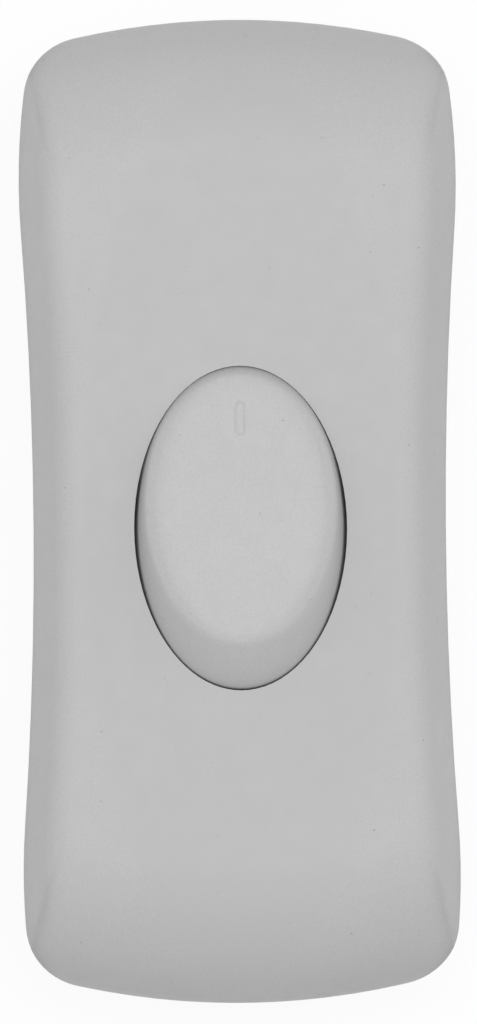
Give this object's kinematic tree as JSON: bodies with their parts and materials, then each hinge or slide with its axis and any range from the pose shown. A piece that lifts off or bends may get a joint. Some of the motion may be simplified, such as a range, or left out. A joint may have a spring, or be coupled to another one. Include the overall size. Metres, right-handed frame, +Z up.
{
  "type": "inline cord switch",
  "caption": "Waisted two-part housing with a round cord inlet at each end and an oval rocker on top that tilts see-saw contacts to switch both poles of a flexible cord.",
  "frame": {"origin": "centre of the housing's outline, on the flat underside it lies on", "axes": "+Y along the cord towards the rocker's pressed ON end, +X across, +Z up through the rocker"},
  "size_m": [0.037, 0.084, 0.0291],
  "materials": {
    "shell_plastic": "fine matte moulding, light grey",
    "rocker_plastic": "fine matte moulding, light grey",
    "clamp_plastic": "plain moulding, light grey",
    "terminal_brass": "drawn and milled",
    "bridge_brass": "rolled strip",
    "contact_silver": "polished contact faces",
    "plunger_nylon": "turned, off-white",
    "plated_steel": "zinc plated"
  },
  "bodies": {
    "housing": {"upper_shell": "shell_plastic", "lower_shell": "shell_plastic", "upper_cord_clamp": "clamp_plastic", "lower_cord_clamp": "clamp_plastic", "earth_link": "terminal_brass", "line_contact_terminal": "terminal_brass", "line_pivot_terminal": "terminal_brass", "neutral_contact_terminal": "terminal_brass", "neutral_pivot_terminal": "terminal_brass", "terminal_screws": "plated_steel", "clamp_screws": "plated_steel", "housing_screws": "plated_steel", "line_fixed_contact": "contact_silver", "neutral_fixed_contact": "contact_silver"},
    "rocker": {"rocker": "rocker_plastic", "line_plunger_spring": "plated_steel", "neutral_plunger_spring": "plated_steel"},
    "line_plunger": {"line_plunger": "plunger_nylon"},
    "line_bridge": {"line_contact_bridge": "bridge_brass", "line_moving_contact": "contact_silver"},
    "neutral_plunger": {"neutral_plunger": "plunger_nylon"},
    "neutral_bridge": {"neutral_contact_bridge": "bridge_brass", "neutral_moving_contact": "contact_silver"}
  },
  "joints": [
    {"name": "rocker_pivot", "type": "hinge", "parent": "housing", "child": "rocker", "pos_m": [0, -0.0014, 0.0157], "axis": [1, 0, 0], "range_deg": [0, 20]},
    {"name": "line_plunger_slide", "type": "slide", "parent": "rocker", "child": "line_plunger", "axis": [0, 0.1736, 0.9848], "range_m": [0, 0.0008], "stiffness_N_per_m": 500, "springref_m": -0.001, "deforming": ["line_plunger_spring"]},
    {"name": "line_bridge_tilt", "type": "hinge", "parent": "housing", "child": "line_bridge", "pos_m": [0.0045, -0.0014, 0.00806], "axis": [1, 0, 0], "range_deg": [-16, 0]},
    {"name": "neutral_plunger_slide", "type": "slide", "parent": "rocker", "child": "neutral_plunger", "axis": [0, 0.1736, 0.9848], "range_m": [0, 0.0008], "stiffness_N_per_m": 500, "springref_m": -0.001, "deforming": ["neutral_plunger_spring"]},
    {"name": "neutral_bridge_tilt", "type": "hinge", "parent": "housing", "child": "neutral_bridge", "pos_m": [-0.0045, -0.0014, 0.00806], "axis": [1, 0, 0], "range_deg": [-16, 0]}
  ],
  "couplings": [
    {"joint": "line_bridge_tilt", "follows": "rocker_pivot", "ratio": -0.8},
    {"joint": "neutral_bridge_tilt", "follows": "rocker_pivot", "ratio": -0.8}
  ]
}
